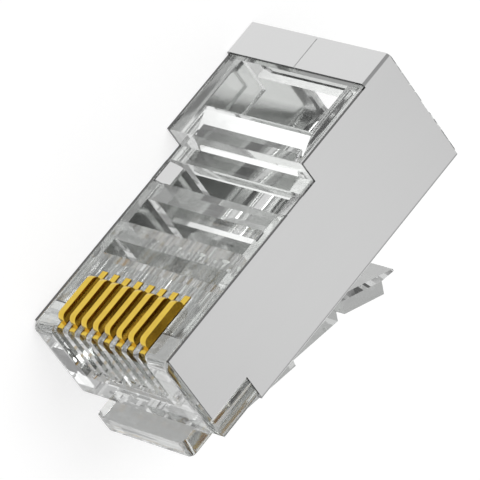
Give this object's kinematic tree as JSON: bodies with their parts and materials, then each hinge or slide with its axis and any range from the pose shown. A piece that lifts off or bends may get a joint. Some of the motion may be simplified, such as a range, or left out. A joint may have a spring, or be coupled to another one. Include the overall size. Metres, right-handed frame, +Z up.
{
  "type": "shielded modular plug",
  "caption": "Clear modular plug before crimping, with a folded metal shield, a raised rear for thick cable, gold contact blades and a flexing latch.",
  "frame": {"origin": "on the surface that the plug lies on, under the middle of its box", "axes": "+X out of the nose into the jack, +Y towards the latch side, +Z up from the lower side panel"},
  "size_m": [0.023, 0.0132, 0.0117],
  "materials": {
    "clear_moulding": "clear moulded polycarbonate",
    "shield_metal": "bright satin nickel plate on folded sheet",
    "contact_gold": "gold-plated stamped blades"
  },
  "bodies": {
    "plug": {"housing": "clear_moulding", "shield": "shield_metal"},
    "latch": {"latch": "clear_moulding"},
    "blade_1": {"contact_1": "contact_gold"},
    "blade_2": {"contact_2": "contact_gold"},
    "blade_3": {"contact_3": "contact_gold"},
    "blade_4": {"contact_4": "contact_gold"},
    "blade_5": {"contact_5": "contact_gold"},
    "blade_6": {"contact_6": "contact_gold"},
    "blade_7": {"contact_7": "contact_gold"},
    "blade_8": {"contact_8": "contact_gold"}
  },
  "joints": [
    {"name": "latch_press", "type": "hinge", "parent": "plug", "child": "latch", "pos_m": [0.00925, 0.00194, 0.00584], "axis": [0, 0, 1], "range_deg": [0, 12], "stiffness_Nm_per_rad": 0.2},
    {"name": "crimp_1", "type": "slide", "parent": "plug", "child": "blade_1", "axis": [0, 1, 0], "range_m": [0, 0.0011]},
    {"name": "crimp_2", "type": "slide", "parent": "plug", "child": "blade_2", "axis": [0, 1, 0], "range_m": [0, 0.0011]},
    {"name": "crimp_3", "type": "slide", "parent": "plug", "child": "blade_3", "axis": [0, 1, 0], "range_m": [0, 0.0011]},
    {"name": "crimp_4", "type": "slide", "parent": "plug", "child": "blade_4", "axis": [0, 1, 0], "range_m": [0, 0.0011]},
    {"name": "crimp_5", "type": "slide", "parent": "plug", "child": "blade_5", "axis": [0, 1, 0], "range_m": [0, 0.0011]},
    {"name": "crimp_6", "type": "slide", "parent": "plug", "child": "blade_6", "axis": [0, 1, 0], "range_m": [0, 0.0011]},
    {"name": "crimp_7", "type": "slide", "parent": "plug", "child": "blade_7", "axis": [0, 1, 0], "range_m": [0, 0.0011]},
    {"name": "crimp_8", "type": "slide", "parent": "plug", "child": "blade_8", "axis": [0, 1, 0], "range_m": [0, 0.0011]}
  ],
  "couplings": [
    {"joint": "crimp_1", "follows": "crimp_2", "ratio": 1},
    {"joint": "crimp_3", "follows": "crimp_2", "ratio": 1},
    {"joint": "crimp_4", "follows": "crimp_2", "ratio": 1},
    {"joint": "crimp_5", "follows": "crimp_2", "ratio": 1},
    {"joint": "crimp_6", "follows": "crimp_2", "ratio": 1},
    {"joint": "crimp_7", "follows": "crimp_2", "ratio": 1},
    {"joint": "crimp_8", "follows": "crimp_2", "ratio": 1}
  ]
}
